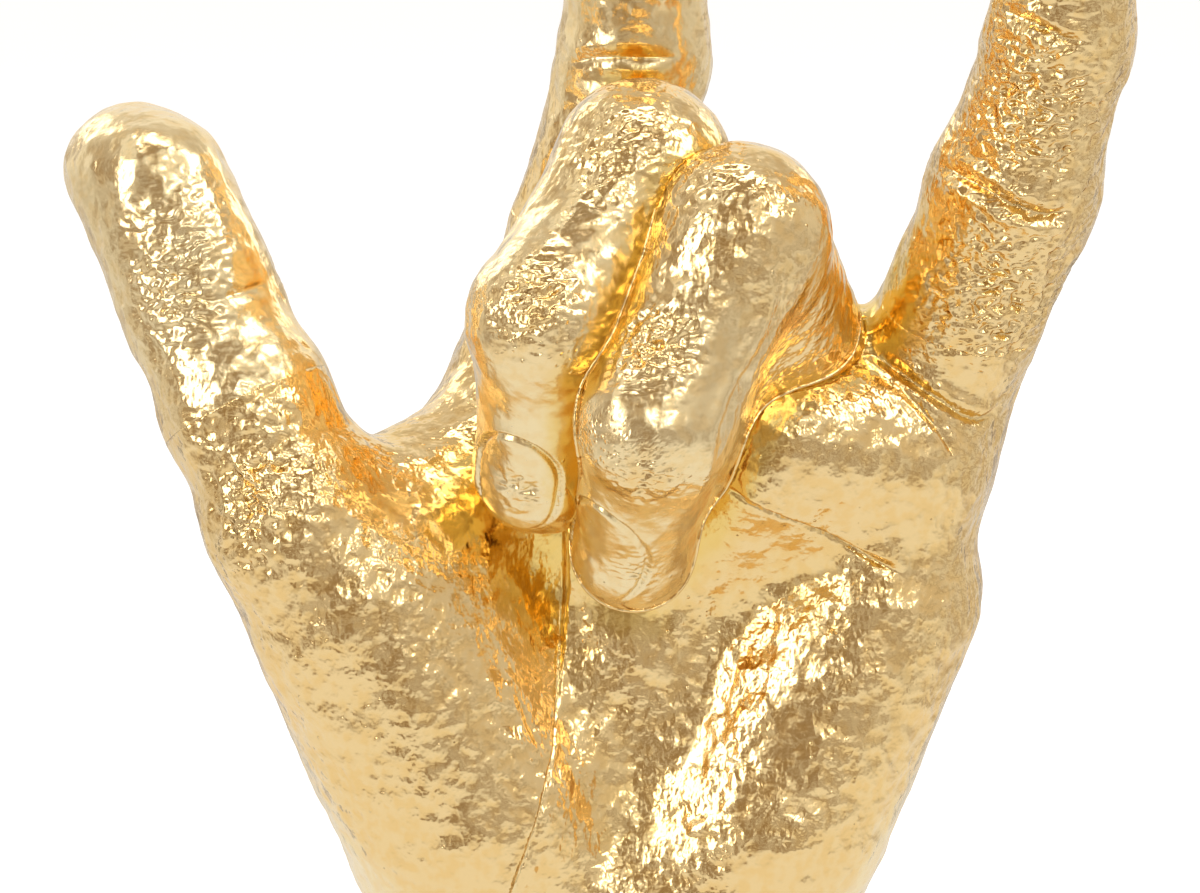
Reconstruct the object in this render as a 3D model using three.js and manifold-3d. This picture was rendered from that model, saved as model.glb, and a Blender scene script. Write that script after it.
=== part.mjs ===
// A cast ornament in the form of a left hand, life size, that stands upright on its cut wrist.
// The thumb, first and little fingers are raised, and the two middle fingers are folded on the palm.
// The palm and wrist are one hollow casting. Each digit is a casting of its own, bedded on a flat joint
// face and held by a steel dowel. A cast weight fills the wrist, a plate closes it, and felt covers that.
// Millimetres, +Z up, the palm faces -Y, the thumb points to -X. Origin: centre of the felt's lower face.
// Places in the hand are measured from the middle of the wrist's waist, at the top of the wrist.
import * as THREE from 'three';
import { mergeVertices } from 'three/addons/utils/BufferGeometryUtils.js';
import Module from 'manifold-3d';

const wasm = await Module();
wasm.setup();

const vec = (x, y, z) => new THREE.Vector3(x, y, z);
const radians = THREE.MathUtils.degToRad;

// Joints between pieces
const GLUE_LINE = 0.3;        // adhesive between bedded faces, and the clearance round what is set in
const SKIN_STEP = 4;          // spacing of the points on the cast skins
const SETTLING_TURNS = 3;     // passes that bring those points to the true surface

// Wrist
const WRIST_WIDTH = 60;
const WRIST_DEPTH = 43;
const WRIST_HEIGHT = 60;      // from under the felt up to the waist
const CUFF_SPREAD = 1.07;     // width of the cut end by that of the waist
const HEEL = 8;               // how far the wrist's bones reach up into the palm

// Closing of the wrist
const FELT_THICKNESS = 2;
const FELT_INSET = 1.5;       // the felt stops short of the casting's edge by this much
const PLATE_THICKNESS = 5;
const WALL = 7.5;             // of the casting round the plate and the weight
const WEIGHT_HEIGHT = 64;
const WEIGHT_TAPER = 0.84;    // top of the weight against its foot
const OVAL_SEGMENTS = 40;

// Dowels
const DOWEL_RADIUS = 2.5;
const DOWEL_IN_DIGIT = 14;
const DOWEL_IN_PALM = 12;
const DOWEL_SIDES = 12;

// Palm
const PALM_BLEND = 9;         // how softly the masses of the palm run together
const DIGIT_BLEND = 4;        // the same between a digit and what it grows from
const HAND_BONES = {          // from the heel to each knuckle: where it starts, and its radius at both ends
  index_finger: { start: [-12, 3, 16], radius: 15, knuckleRadius: 12.6 },
  middle_finger: { start: [-4, 4, 16], radius: 15.5, knuckleRadius: 13.2 },
  ring_finger: { start: [5, 4, 16], radius: 15.5, knuckleRadius: 12.8 },
  little_finger: { start: [13, 2, 16], radius: 15, knuckleRadius: 12.6 },
  thumb: { start: [-22.5, -5, 23], radius: 16.5, knuckleRadius: 12.2 },
};
const PALM_MASSES = {         // flesh over the bones: its two ends and its radius at each
  thumb_muscle: { from: [-20, -11, 30], to: [-33, -13, 58], radii: [14, 13.2] },
  outer_muscle: { from: [21, -6, 26], to: [35.6, -4, 56], radii: [16, 13.4] },
  palm_hollow: { from: [-3, 0, 32], to: [4, -1, 62], radii: [11, 11] },
  inner_pads: { from: [-12, -2, 70], to: [14, -4, 71], radii: [10, 10.5] },
  outer_pads: { from: [20, -10, 81], to: [37, -7, 78], radii: [12.5, 12] },
  thumb_web: { from: [-33, -6, 68.6], to: [-14, 5, 80], radii: [9.5, 8] },
  thumb_root: { from: [-26, -9, 42], to: [-25.5, -8, 65], radii: [11.5, 10.5] },
};
const THUMB_PAD = { from: [-62.3, -7, 114.6], to: [-58.2, -9, 105.5], radii: [9.2, 9] };

// Digits. knuckle: where the first bone starts. Each bone leans to +X by lean and curls towards the
// palm's side by curl, in degrees from upright. radii: at the knuckle, the two joints and the tip.
// root: distance of the joint face from the knuckle. A folded digit is let into the palm.
const DIGITS = {
  index_finger: {
    knuckle: [-10.7, 11, 84.9], bones: [46.5, 24.6, 17.1],
    lean: [15, 1, 1], curl: [4, 12, 21], radii: [11.6, 9.9, 9.4, 8.2], root: 24, folded: false,
  },
  middle_finger: {
    knuckle: [6.7, 11, 85.6], bones: [46.1, 24.8, 25.8],
    lean: [-8, 35, 3], curl: [44, 151, 210], radii: [12.2, 10.8, 9.4, 7.8], root: 12, folded: true,
  },
  ring_finger: {
    knuckle: [25, 7, 82.1], bones: [50.1, 26.6, 28],
    lean: [-19, 26, 7], curl: [51, 165, 220], radii: [12, 10.4, 9.4, 7.4], root: 12, folded: true,
  },
  little_finger: {
    knuckle: [37.8, 3, 74.1], bones: [45.1, 23.9, 19.5],
    lean: [19, 12, 3], curl: [19, 20, 24], radii: [12, 10.8, 8.9, 7.6], root: 26, folded: false,
  },
  thumb: {
    knuckle: [-43.9, -14, 69.8], bones: [17.8, 13.4, 21.3],
    lean: [-25, -26, -28], curl: [-10, -13, -16], radii: [12.2, 11, 10, 9.4], root: 17, folded: false,
  },
};
const FOLD_FILL = 0.55;       // share of the way from a folded finger's first bone to its tip that is flesh
const FOLD_FILL_RADII = [7, 8];
const TIP_BED = [0, 9, -3];   // from the centre of a folded fingertip, the way that it is pressed on the palm
const TIP_SPREAD = 0.6;       // how much wider the pressed tip is where it meets the palm

// Cuts
const BLOCK_SHARE = 1.42;     // half width of the block that frees a raised digit, by its radius
const OVERCUT = 1;            // how far a cut runs on past an open face
const TALL = 400;             // more than the sculpture's height

const inHand = ([x, y, z]) => vec(x, y, WRIST_HEIGHT + z);

// The points of a digit: its knuckle, its two joints and the centre of its tip.
function jointsOf(digit) {
  const points = [inHand(digit.knuckle)];
  digit.bones.forEach((length, i) => {
    const lean = radians(digit.lean[i]);
    const curl = radians(digit.curl[i]);
    const run = vec(Math.cos(curl) * Math.sin(lean), -Math.sin(curl), Math.cos(curl) * Math.cos(lean));
    points.push(points[i].clone().addScaledVector(run, length));
  });
  return points;
}

// Distance from p to a bone: a cone from a to b with round ends of radii ra and rb.
function distanceToBone(p, bone) {
  const along = bone.b.clone().sub(bone.a);
  const length2 = along.lengthSq();
  const shrink = bone.ra - bone.rb;
  const slope2 = length2 - shrink * shrink;
  const toPoint = p.clone().sub(bone.a);
  const y = toPoint.dot(along);
  const z = y - length2;
  const x2 = toPoint.multiplyScalar(length2).addScaledVector(along, -y).lengthSq();
  const y2 = y * y * length2;
  const z2 = z * z * length2;
  const k = Math.sign(shrink) * shrink * shrink * x2;
  if (Math.sign(z) * slope2 * z2 > k) return Math.sqrt(x2 + z2) / length2 - bone.rb;
  if (Math.sign(y) * slope2 * y2 < k) return Math.sqrt(x2 + y2) / length2 - bone.ra;
  return (Math.sqrt(x2 * slope2 / length2) + y * shrink) / length2 - bone.ra;
}

// The lesser of two distances, rounded off where they are nearly the same.
function softMin(a, b, blend) {
  const h = Math.max(blend - Math.abs(a - b), 0) / blend;
  return Math.min(a, b) - h * h * blend / 4;
}

const fleshOn = (bones) => (p) =>
  bones.reduce((d, bone) => softMin(d, distanceToBone(p, bone), bone.blend), Infinity);

const bone = (a, b, ra, rb, blend) => ({ a, b, ra, rb, blend });

function bonesOf(digit) {
  const points = jointsOf(digit);
  return digit.bones.map((length, i) =>
    bone(points[i], points[i + 1], digit.radii[i], digit.radii[i + 1], DIGIT_BLEND));
}

// The bones of the whole open hand: wrist, palm, the flesh on it, and the digits. The skin runs on
// below the felt, where it is cut off flat.
function handBones() {
  const halfDepth = WRIST_DEPTH / 2;
  const halfSpread = (WRIST_WIDTH - WRIST_DEPTH) / 2;
  const wristSide = (side) => bone(
    vec(side * halfSpread * CUFF_SPREAD, 0, -WRIST_DEPTH), vec(side * halfSpread, 0, WRIST_HEIGHT + HEEL),
    halfDepth * CUFF_SPREAD, halfDepth, PALM_BLEND);
  const mass = ({ from, to, radii }) => bone(inHand(from), inHand(to), ...radii, PALM_BLEND);
  return [
    wristSide(-1), wristSide(1),
    ...Object.entries(HAND_BONES).map(([name, { start, radius, knuckleRadius }]) =>
      bone(inHand(start), inHand(DIGITS[name].knuckle), radius, knuckleRadius, PALM_BLEND)),
    ...Object.values(PALM_MASSES).map(mass),
    mass(THUMB_PAD),
    ...Object.values(DIGITS).flatMap((digit) => (digit.folded ? [stubOf(digit)] : bonesOf(digit))),
  ];
}

// The start of a folded finger that belongs to the palm, up to its joint face.
function stubOf(digit) {
  return bone(inHand(digit.knuckle), rootOf(digit).face, digit.radii[0], digit.radii[0], DIGIT_BLEND);
}

// A folded finger, with the flesh that is pressed between its first bone and its tip, and its tip's bed.
function foldedBones(digit) {
  const [knuckle, joint, , tip] = jointsOf(digit);
  const inside = knuckle.clone().lerp(joint, 0.5).lerp(tip, FOLD_FILL);
  const fill = bone(inside, joint.clone().lerp(tip, 0.5), ...FOLD_FILL_RADII, PALM_BLEND);
  const radius = digit.radii[3];
  const bed = bone(tip, tip.clone().add(vec(...TIP_BED)), radius, radius + TIP_SPREAD, DIGIT_BLEND);
  return [...bonesOf(digit), fill, bed];
}

// The slope of a distance at a point.
function slopeOf(distance, point) {
  const h = SKIN_STEP / 100;
  return vec(...[vec(h, 0, 0), vec(0, h, 0), vec(0, 0, h)].map((step) =>
    (distance(point.clone().add(step)) - distance(point.clone().sub(step))) / (2 * h)));
}

// Moves a point along the slope of a distance, most of the way to the surface where it is zero, in
// small turns that stay calm in a crease, and then outwards.
function settle(point, distance, outside) {
  for (let turn = 0; turn < SETTLING_TURNS; turn++) {
    point.addScaledVector(slopeOf(distance, point), -distance(point) / 2);
  }
  return point.addScaledVector(slopeOf(distance, point).normalize(), outside);
}

// A cell's corners, its edges, and the pairs of corners that lie across one of its faces or across it.
const CORNERS = [0, 1, 2, 3, 4, 5, 6, 7].map((n) => [n & 1, (n >> 1) & 1, n >> 2]);
const EDGES = CORNERS.flatMap((c, n) => [1, 2, 4].filter((bit) => !(n & bit)).map((bit) => [n, n | bit]));
const FACES = [[0, 3, 1, 2], [4, 7, 5, 6], [0, 5, 1, 4], [2, 7, 3, 6], [0, 6, 2, 4], [1, 7, 3, 5]];

// Where flesh meets flesh only along an edge or at a corner of the grid, fills in one grid point beside
// it, so that the skin never pinches together.
function fillPinches(values, cells) {
  const inside = (n) => values[n] < 0;
  let again = true;
  while (again) {
    again = false;
    for (const cell of cells) {
      const count = cell.filter(inside).length;
      if (!count || count === 8) continue;
      const pinches = FACES.map((face) => face.map((n) => cell[n])).filter(([a, b, c, d]) =>
        inside(a) === inside(b) && inside(c) === inside(d) && inside(a) !== inside(c));
      const lone = [0, 1, 2, 3].some((n) => {
        const across = inside(cell[n]) === inside(cell[7 - n]);
        return across && ((count === 2 && inside(cell[n])) || (count === 6 && !inside(cell[n])));
      });
      if (lone) pinches.push(cell);
      for (const pinch of pinches) {
        const open = pinch.filter((n) => !inside(n)).sort((m, n) => values[m] - values[n]);
        if (open.length) values[open[0]] = -SKIN_STEP / 100;
        again = true;
      }
    }
  }
}

// A closed skin over the flesh on some bones, or outside it by a clearance: a grid of cells with one
// point in each cell that the surface passes through and one quad for each grid edge that it crosses.
function skinGeometry(bones, outside = 0) {
  const distance = fleshOn(bones);
  const box = new THREE.Box3();
  for (const { a, b, ra, rb } of bones) {
    box.union(new THREE.Box3().setFromPoints([a]).expandByScalar(ra));
    box.union(new THREE.Box3().setFromPoints([b]).expandByScalar(rb));
  }
  box.expandByScalar(2 * SKIN_STEP);
  const counts = box.getSize(vec()).divideScalar(SKIN_STEP).ceil();
  const [nx, ny, nz] = [counts.x + 1, counts.y + 1, counts.z + 1];
  const gridIndex = (i, j, k) => i + nx * (j + ny * k);
  const gridPoint = (i, j, k) => vec(i, j, k).multiplyScalar(SKIN_STEP).add(box.min);
  const values = new Float64Array(nx * ny * nz);
  for (let k = 0; k < nz; k++)
    for (let j = 0; j < ny; j++)
      for (let i = 0; i < nx; i++) values[gridIndex(i, j, k)] = distance(gridPoint(i, j, k));

  const cells = [];
  for (let k = 0; k < nz - 1; k++)
    for (let j = 0; j < ny - 1; j++)
      for (let i = 0; i < nx - 1; i++) cells.push(CORNERS.map(([x, y, z]) => gridIndex(i + x, j + y, k + z)));
  fillPinches(values, cells);
  const positions = [];
  const pointOfCell = new Map();
  for (let k = 0; k < nz - 1; k++)
    for (let j = 0; j < ny - 1; j++)
      for (let i = 0; i < nx - 1; i++) {
        const at = CORNERS.map(([x, y, z]) => values[gridIndex(i + x, j + y, k + z)]);
        const crossed = EDGES.filter(([m, n]) => (at[m] < 0) !== (at[n] < 0));
        if (!crossed.length) continue;
        const point = vec(0, 0, 0);
        for (const [m, n] of crossed) {
          const share = at[m] / (at[m] - at[n]);
          point.add(vec(...CORNERS[m]).lerp(vec(...CORNERS[n]), share).divideScalar(crossed.length));
        }
        pointOfCell.set(gridIndex(i, j, k), positions.length / 3);
        point.add(vec(i, j, k)).multiplyScalar(SKIN_STEP).add(box.min);
        positions.push(...settle(point, distance, outside).toArray());
      }

  const index = [];
  const corner = (n) => vec(...positions.slice(3 * n, 3 * n + 3));
  const apart = (m, n) => corner(m).distanceTo(corner(n));
  const axes = [[1, 0, 0], [0, 1, 0], [0, 0, 1]];
  for (let k = 1; k < nz - 1; k++)
    for (let j = 1; j < ny - 1; j++)
      for (let i = 1; i < nx - 1; i++)
        axes.forEach((step, axis) => {
          const here = values[gridIndex(i, j, k)] < 0;
          const there = values[gridIndex(i + step[0], j + step[1], k + step[2])] < 0;
          if (here === there) return;
          const [u, v] = [axes[(axis + 1) % 3], axes[(axis + 2) % 3]];
          const cell = (du, dv) => pointOfCell.get(gridIndex(
            i - du * u[0] - dv * v[0], j - du * u[1] - dv * v[1], k - du * u[2] - dv * v[2]));
          const ring = [cell(1, 1), cell(0, 1), cell(0, 0), cell(1, 0)];
          const [a, b, c, d] = here ? ring : ring.reverse();
          if (apart(a, c) < apart(b, d)) index.push(a, b, c, a, c, d);
          else index.push(a, b, d, b, c, d);
        });
  return new THREE.BufferGeometry()
    .setAttribute('position', new THREE.Float32BufferAttribute(positions, 3))
    .setIndex(index);
}

// A closed geometry as a solid for cutting and joining, and a solid as a geometry again.
function solid(geometry) {
  const bare = geometry.clone();
  bare.deleteAttribute('normal');
  bare.deleteAttribute('uv');
  const merged = mergeVertices(bare, 1e-4);
  return new wasm.Manifold(new wasm.Mesh({
    numProp: 3,
    vertProperties: merged.attributes.position.array,
    triVerts: new Uint32Array(merged.index.array),
  }));
}

function geometryOf(made) {
  const { vertProperties, triVerts } = made.getMesh();
  return new THREE.BufferGeometry()
    .setAttribute('position', new THREE.BufferAttribute(vertProperties, 3))
    .setIndex(new THREE.BufferAttribute(triVerts, 1));
}

// What lies past a digit's joint face, as a block. That of a raised digit holds no other digit.
function pastRoot(digit, offset) {
  const { face, run } = rootOf(digit);
  const width = digit.folded ? TALL : 2 * BLOCK_SHARE * digit.radii[0];
  return new THREE.BoxGeometry(width, width, TALL)
    .translate(0, 0, TALL / 2 + offset)
    .applyQuaternion(new THREE.Quaternion().setFromUnitVectors(vec(0, 0, 1), run))
    .translate(...face);
}

// The middle of a digit's joint face, and the way that it looks: along a folded finger's first bone,
// or from there to the tip of a raised digit.
function rootOf(digit) {
  const [knuckle, joint, , tip] = jointsOf(digit);
  const face = knuckle.clone().lerp(joint, digit.root / digit.bones[0]);
  const target = digit.folded ? joint : tip;
  return { face, run: target.clone().sub(face).normalize() };
}

function dowelGeometry(digit, clearance) {
  const { face, run } = rootOf(digit);
  const length = DOWEL_IN_DIGIT + DOWEL_IN_PALM + 2 * clearance;
  return new THREE.CylinderGeometry(DOWEL_RADIUS + clearance, DOWEL_RADIUS + clearance, length, DOWEL_SIDES)
    .rotateX(Math.PI / 2)
    .translate(0, 0, (DOWEL_IN_DIGIT - DOWEL_IN_PALM) / 2)
    .applyQuaternion(new THREE.Quaternion().setFromUnitVectors(vec(0, 0, 1), run))
    .translate(...face);
}

// An upright oval disc with the wrist's section, drawn in by inset, from foot up.
function ovalGeometry(inset, foot, height, taper = 1) {
  const halfDepth = WRIST_DEPTH / 2;
  return new THREE.CylinderGeometry(taper, 1, height, OVAL_SEGMENTS)
    .rotateX(Math.PI / 2)
    .scale(WRIST_WIDTH / 2 - inset, halfDepth - inset, 1)
    .translate(0, 0, foot + height / 2);
}

const plateFoot = FELT_THICKNESS;
const weightFoot = plateFoot + PLATE_THICKNESS + GLUE_LINE;
const pieces = {};

// The open hand. Folded fingers are let into it, and the ring finger into the middle finger.
const belowFelt = new THREE.BoxGeometry(TALL, TALL, TALL).translate(0, 0, plateFoot - TALL / 2);
let palm = solid(skinGeometry(handBones())).subtract(solid(belowFelt));
const digits = Object.entries(DIGITS);
const seats = digits.filter(([, each]) => each.folded).map(([name, digit]) => {
  const finger = solid(skinGeometry(foldedBones(digit)));
  const seat = solid(skinGeometry(foldedBones(digit), GLUE_LINE)).add(finger);
  pieces[name] = finger.intersect(solid(pastRoot(digit, GLUE_LINE / 2)));
  return seat.intersect(solid(pastRoot(digit, -GLUE_LINE / 2)));
});
seats.forEach((seat) => { palm = palm.subtract(seat); });
pieces.middle_finger = pieces.middle_finger.subtract(seats[1]);
// Raised digits are cut off it at their joint faces.
for (const [name, digit] of digits.filter(([, each]) => !each.folded)) {
  pieces[name] = palm.intersect(solid(pastRoot(digit, GLUE_LINE / 2)));
  palm = palm.subtract(solid(pastRoot(digit, -GLUE_LINE / 2)));
}
for (const [name, digit] of digits) {
  const hole = solid(dowelGeometry(digit, GLUE_LINE));
  palm = palm.subtract(hole);
  pieces[name] = pieces[name].subtract(hole);
  pieces[name + '_dowel'] = solid(dowelGeometry(digit, 0));
}
palm = palm
  .subtract(solid(ovalGeometry(WALL - GLUE_LINE, plateFoot - OVERCUT, OVERCUT + PLATE_THICKNESS + GLUE_LINE)))
  .subtract(solid(ovalGeometry(WALL, weightFoot - GLUE_LINE, WEIGHT_HEIGHT + 2 * GLUE_LINE, WEIGHT_TAPER)));
pieces.palm_and_wrist = palm;
pieces.wrist_weight = solid(ovalGeometry(WALL + GLUE_LINE, weightFoot, WEIGHT_HEIGHT, WEIGHT_TAPER));
pieces.closing_plate = solid(ovalGeometry(WALL, plateFoot, PLATE_THICKNESS));
pieces.felt_pad = solid(ovalGeometry(FELT_INSET, 0, FELT_THICKNESS));

const gold = new THREE.MeshStandardMaterial({ color: 0xd9a93f, roughness: 0.32, metalness: 1 });
const steel = new THREE.MeshStandardMaterial({ color: 0xb8bcc0, roughness: 0.35, metalness: 1 });
const castIron = new THREE.MeshStandardMaterial({ color: 0x55565a, roughness: 0.7, metalness: 1 });
const board = new THREE.MeshStandardMaterial({ color: 0x3b352e, roughness: 0.8, metalness: 0 });
const felt = new THREE.MeshStandardMaterial({ color: 0x1f1e1d, roughness: 1, metalness: 0 });
const finishOf = (name) => ({ wrist_weight: castIron, closing_plate: board, felt_pad: felt })[name]
  ?? (name.endsWith('_dowel') ? steel : gold);

const sculpture = new THREE.Group();
for (const [name, made] of Object.entries(pieces)) {
  const mesh = new THREE.Mesh(geometryOf(made), finishOf(name));
  mesh.name = name;
  sculpture.add(mesh);
}
export default sculpture;
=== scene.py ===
# %% [markdown]
# # A gilded cast of a hand
# The object is a life-size ornament: a left hand cast in resin in six castings and covered with leaf
# metal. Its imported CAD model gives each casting's place and rough skin. Here each skin is made again,
# fine enough to carve creases, nails and seams into it, and then gilded. All sizes in the tables are
# millimetres, as in the CAD source, and each mesh is brought to metres when it is written.

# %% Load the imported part
import math

import bmesh
import bpy
import numpy as np
from mathutils import Matrix, Vector, noise


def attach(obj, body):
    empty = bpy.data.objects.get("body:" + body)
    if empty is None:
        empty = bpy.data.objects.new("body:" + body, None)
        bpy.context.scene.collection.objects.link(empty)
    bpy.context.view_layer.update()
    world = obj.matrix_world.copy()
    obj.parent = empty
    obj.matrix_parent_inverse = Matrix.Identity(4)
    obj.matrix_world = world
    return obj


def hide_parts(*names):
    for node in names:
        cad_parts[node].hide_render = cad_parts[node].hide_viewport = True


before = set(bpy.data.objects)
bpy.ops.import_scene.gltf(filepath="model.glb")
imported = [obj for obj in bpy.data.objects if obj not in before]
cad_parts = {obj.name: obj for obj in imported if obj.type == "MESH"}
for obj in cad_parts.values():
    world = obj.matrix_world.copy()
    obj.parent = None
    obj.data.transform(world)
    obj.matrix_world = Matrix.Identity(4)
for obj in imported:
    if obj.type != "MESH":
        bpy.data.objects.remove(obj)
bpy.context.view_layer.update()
MM = 0.001
print("nodes:", ", ".join(sorted(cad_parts)))

# %% [markdown]
# ## The hand under the skin
# A modeller in clay starts from a wire armature. This one is a table of bones: each digit has a knuckle,
# three bone lengths, and for each bone how far it leans to the side and curls towards the palm. The
# palm has bones from the heel to each knuckle, and masses of flesh laid over them. Places are measured
# from the wrist's waist, as in the CAD source, so the two models can be compared number by number.

# %% The armature
WRIST_WIDTH = 60
WRIST_DEPTH = 43
WRIST_HEIGHT = 60
CUFF_SPREAD = 1.07
HEEL = 8
FELT_TOP = 2
PALM_BLEND = 9
DIGIT_BLEND = 4

DIGITS = {
    "index_finger": dict(knuckle=(-10.7, 11, 84.9), bones=(46.5, 24.6, 17.1), lean=(15, 1, 1),
                         curl=(4, 12, 21), radii=(11.6, 9.9, 9.4, 8.2), root=24, folded=False),
    "middle_finger": dict(knuckle=(6.7, 11, 85.6), bones=(46.1, 24.8, 25.8), lean=(-8, 35, 3),
                          curl=(44, 151, 210), radii=(12.2, 10.8, 9.4, 7.8), root=12, folded=True),
    "ring_finger": dict(knuckle=(25, 7, 82.1), bones=(50.1, 26.6, 28), lean=(-19, 26, 7),
                        curl=(51, 165, 220), radii=(12, 10.4, 9.4, 7.4), root=12, folded=True),
    "little_finger": dict(knuckle=(37.8, 3, 74.1), bones=(45.1, 23.9, 19.5), lean=(19, 12, 3),
                          curl=(19, 20, 24), radii=(12, 10.8, 8.9, 7.6), root=26, folded=False),
    "thumb": dict(knuckle=(-43.9, -14, 69.8), bones=(17.8, 13.4, 21.3), lean=(-25, -26, -28),
                  curl=(-10, -13, -16), radii=(12.2, 11, 10, 9.4), root=17, folded=False),
}
index_finger, middle_finger, ring_finger, little_finger, thumb = DIGITS.values()
# From the heel to a knuckle: the bone's start, its radius there, and its radius at the knuckle
HAND_BONES = {
    "index_finger": ((-12, 3, 16), 15, 12.6),
    "middle_finger": ((-4, 4, 16), 15.5, 13.2),
    "ring_finger": ((5, 4, 16), 15.5, 12.8),
    "little_finger": ((13, 2, 16), 15, 12.6),
    "thumb": ((-22.5, -5, 23), 16.5, 12.2),
}
# Flesh over the bones: its two ends, and its radius at each
PALM_MASSES = {
    "thumb_muscle": ((-20, -11, 30), (-33, -13, 58), 14, 13.2),
    "outer_muscle": ((21, -6, 26), (35.6, -4, 56), 16, 13.4),
    "palm_hollow": ((-3, 0, 32), (4, -1, 62), 11, 11),
    "inner_pads": ((-12, -2, 70), (14, -4, 71), 10, 10.5),
    "outer_pads": ((20, -10, 81), (37, -7, 78), 12.5, 12),
    "thumb_web": ((-33, -6, 68.6), (-14, 5, 80), 9.5, 8),
    "thumb_root": ((-26, -9, 42), (-25.5, -8, 65), 11.5, 10.5),
    "thumb_pad": ((-62.3, -7, 114.6), (-58.2, -9, 105.5), 9.2, 9),
}
FOLD_FILL = 0.55
FOLD_FILL_RADII = (7, 8)
# The way a folded fingertip is pressed on the palm, and how much wider it is where it meets it
TIP_BED = (0, 9, -3)
TIP_SPREAD = 0.6


def in_hand(place):
    return np.array(place, float) + (0, 0, WRIST_HEIGHT)


def bone_runs(digit):
    """The way each bone of a digit points, and the way its palm side faces."""
    lean, curl = np.radians(digit["lean"]), np.radians(digit["curl"])
    runs = np.stack([np.cos(curl) * np.sin(lean), -np.sin(curl), np.cos(curl) * np.cos(lean)], 1)
    palm_sides = np.stack([-np.sin(curl) * np.sin(lean), -np.cos(curl), -np.sin(curl) * np.cos(lean)], 1)
    return runs, palm_sides


def joints_of(digit):
    """The knuckle, the two joints and the centre of the tip."""
    runs, _ = bone_runs(digit)
    steps = runs * np.array(digit["bones"])[:, None]
    return in_hand(digit["knuckle"]) + np.vstack([(0, 0, 0), np.cumsum(steps, 0)])


def root_of(digit):
    """The middle of the face where a digit is bedded on the palm, and the way that face looks."""
    knuckle, joint, _, tip = joints_of(digit)
    face = knuckle + (joint - knuckle) * digit["root"] / digit["bones"][0]
    run = (joint if digit["folded"] else tip) - face
    return face, run / np.linalg.norm(run)


for name, digit in DIGITS.items():
    print(name, "tip at", joints_of(digit)[3].round(1))

# %% [markdown]
# ## Flesh as a distance
# A bone with flesh is a cone with round ends. The distance from a point to it has a closed formula, and
# where two such distances are nearly equal a softened minimum lets one form run into the next, like wet
# clay pressed together. The result is one function for the whole hand that is zero on its skin.

# %% Distances to bones and to flesh
def bones_of(digit):
    points, radii = joints_of(digit), digit["radii"]
    return [(points[i], points[i + 1], radii[i], radii[i + 1], DIGIT_BLEND) for i in range(3)]


def hand_bone(name):
    """The bone in the palm that leads to a digit's knuckle."""
    start, radius, knuckle_radius = HAND_BONES[name]
    return in_hand(start), in_hand(DIGITS[name]["knuckle"]), radius, knuckle_radius, PALM_BLEND


def palm_mass(name):
    start, end, radius, end_radius = PALM_MASSES[name]
    return in_hand(start), in_hand(end), radius, end_radius, PALM_BLEND


def open_hand():
    """Wrist, palm, flesh, the raised digits, and a folded digit's root up to where its casting starts."""
    half_depth, half_spread = WRIST_DEPTH / 2, (WRIST_WIDTH - WRIST_DEPTH) / 2
    bones = []
    for side in (-1, 1):
        foot = np.array((side * half_spread * CUFF_SPREAD, 0.0, -WRIST_DEPTH))
        top = np.array((side * half_spread, 0.0, WRIST_HEIGHT + HEEL))
        bones.append((foot, top, half_depth * CUFF_SPREAD, half_depth, PALM_BLEND))
    bones += [hand_bone(name) for name in HAND_BONES]
    bones += [palm_mass(name) for name in PALM_MASSES]
    for digit in DIGITS.values():
        if digit["folded"]:
            radius = digit["radii"][0]
            bones.append((in_hand(digit["knuckle"]), root_of(digit)[0], radius, radius, DIGIT_BLEND))
        else:
            bones += bones_of(digit)
    return bones


def folded_finger(digit):
    """A folded finger, with the flesh pressed between its first bone and its tip, and its tip's bed."""
    knuckle, joint, _, tip = joints_of(digit)
    middle = (knuckle + joint) / 2
    inside = middle + (tip - middle) * FOLD_FILL
    radius = digit["radii"][3]
    bed = (tip, tip + TIP_BED, radius, radius + TIP_SPREAD, DIGIT_BLEND)
    return bones_of(digit) + [(inside, (joint + tip) / 2, *FOLD_FILL_RADII, PALM_BLEND), bed]


def to_bone(p, bone):
    """The distance from each point to a cone with round ends: its first end, its side or its last end."""
    start, end, radius, end_radius, _ = bone
    run = end - start
    length2, taper = run @ run, radius - end_radius
    slope2 = length2 - taper * taper
    away = p - start
    y = away @ run
    z = y - length2
    aside = away * length2 - np.outer(y, run)
    x2 = (aside * aside).sum(1)
    k = np.sign(taper) * taper * taper * x2
    past_end = np.sign(z) * slope2 * z * z * length2 > k
    before_start = np.sign(y) * slope2 * y * y * length2 < k
    side = (np.sqrt(x2 * slope2 / length2) + y * taper) / length2 - radius
    at_end = np.sqrt(x2 + z * z * length2) / length2 - end_radius
    at_start = np.sqrt(x2 + y * y * length2) / length2 - radius
    return np.where(past_end, at_end, np.where(before_start, at_start, side))


def flesh_on(bones):
    """The distance to the flesh on some bones, as a function of points."""
    def distance(p):
        d = to_bone(p, bones[0])
        for bone in bones[1:]:
            other, blend = to_bone(p, bone), bone[4]
            h = np.maximum(blend - np.abs(d - other), 0) / blend
            d = np.minimum(d, other) - h * h * blend / 4
        return d
    return distance


def slope_of(distance, p, step=0.05):
    """How a distance changes at each point, from four places close round it."""
    corners = np.array([(1, -1, -1), (-1, -1, 1), (-1, 1, -1), (1, 1, 1)]) * step
    return sum(np.outer(distance(p + c), c) for c in corners) / (4 * step * step)


hand = flesh_on(open_hand())
middle = flesh_on(folded_finger(middle_finger))
ring = flesh_on(folded_finger(ring_finger))
print("bones in the open hand:", len(open_hand()))

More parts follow.
